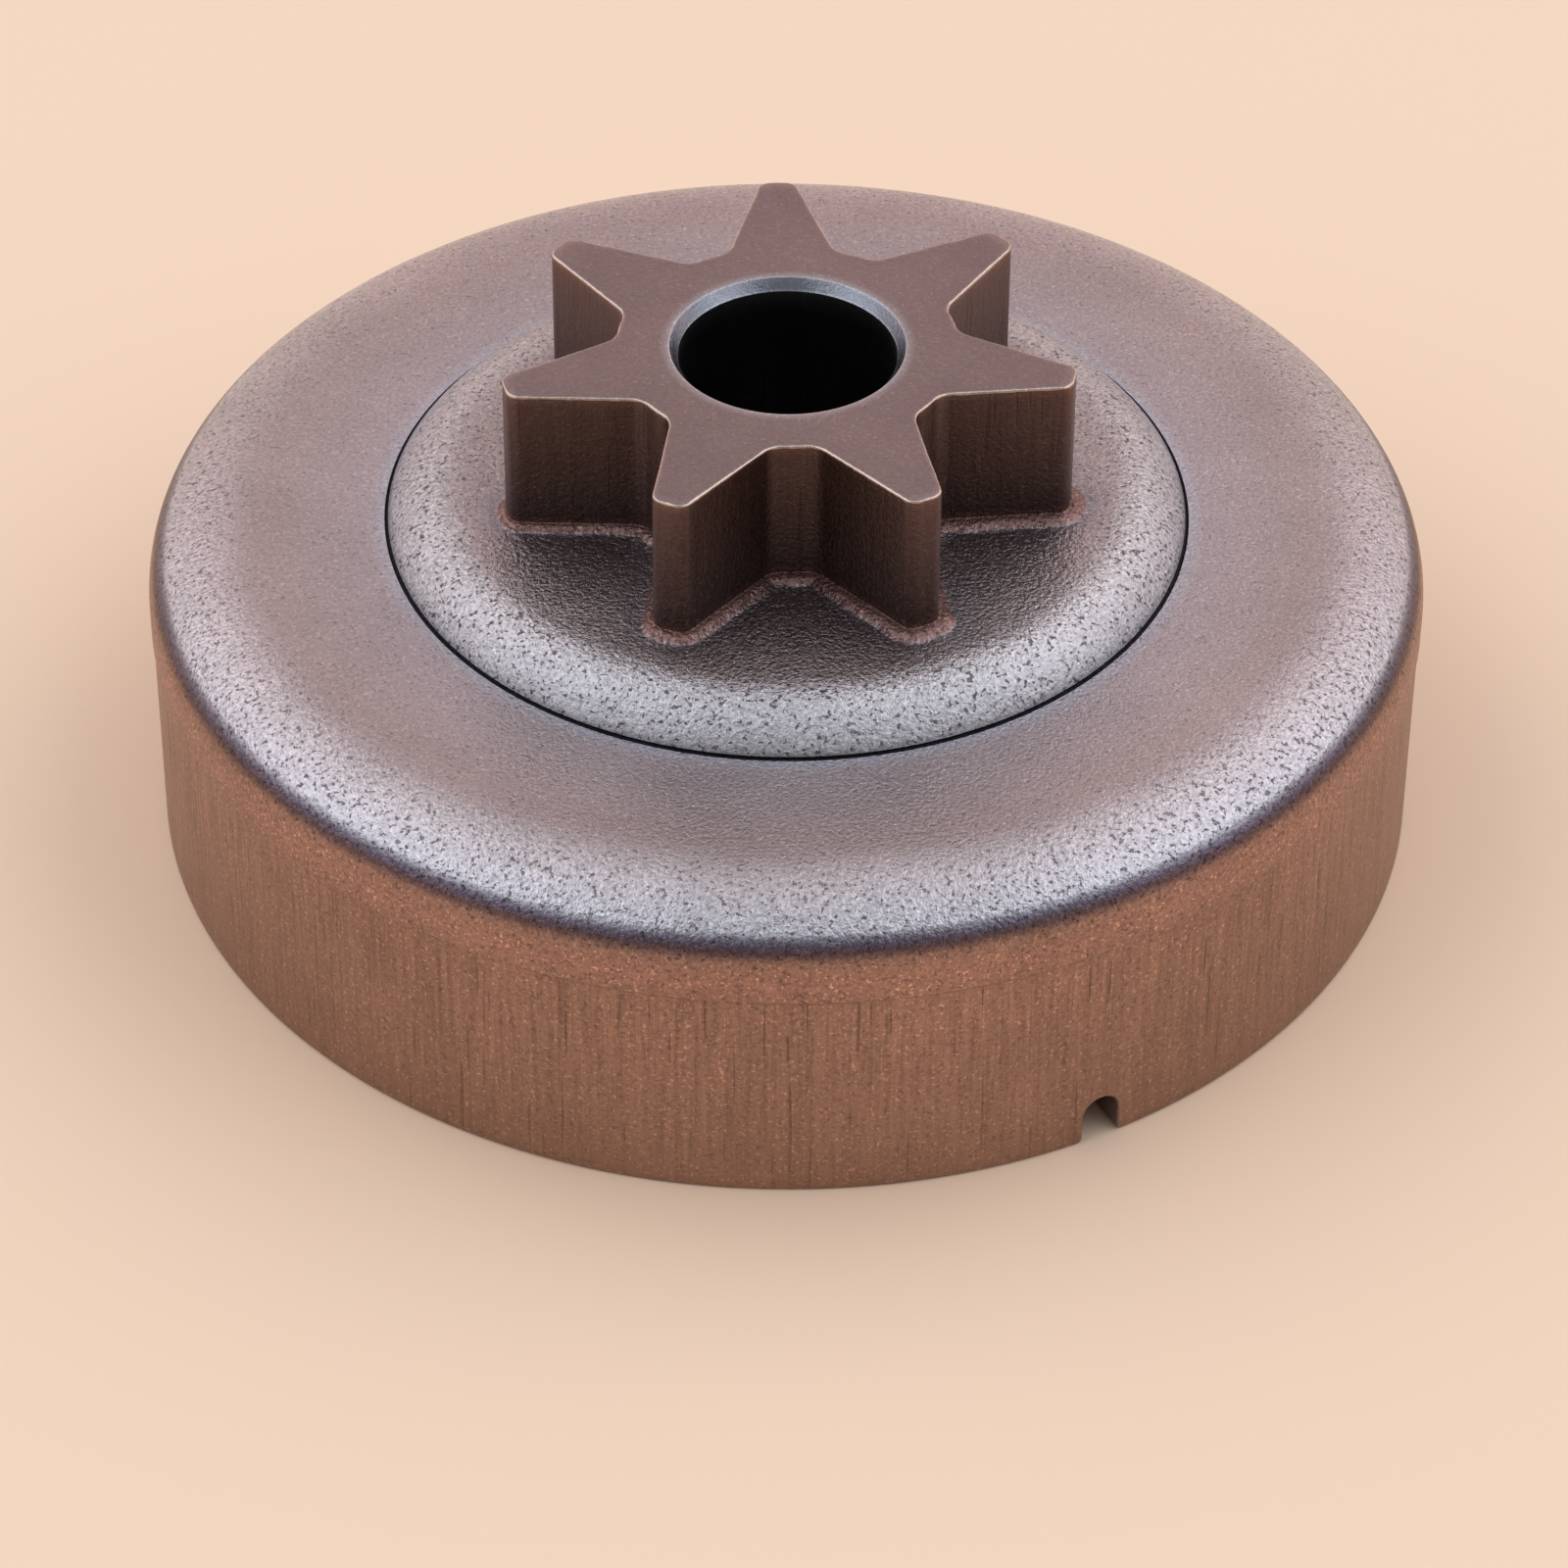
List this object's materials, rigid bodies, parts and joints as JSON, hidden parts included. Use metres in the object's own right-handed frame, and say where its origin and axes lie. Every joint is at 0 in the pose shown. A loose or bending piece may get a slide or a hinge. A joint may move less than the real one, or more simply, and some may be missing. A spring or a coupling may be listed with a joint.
{
  "type": "clutch drum sprocket",
  "caption": "One-piece sintered steel clutch drum with a spur chain sprocket on its domed plate, a bearing bore through it and a driver notch in its rim.",
  "frame": {"origin": "on the drum's axis, in the plane of the open rim", "axes": "+Z along the axis from the open rim to the sprocket, with one tooth near +Y"},
  "size_m": [0.0772, 0.0772, 0.0323],
  "materials": {
    "sintered_steel": "grainy satin steel, heat tinted from silver-mauve on top to orange-brown on the wall, darker between the teeth"
  },
  "bodies": {
    "root": {"drum_sprocket": "sintered_steel"}
  },
  "joints": []
}
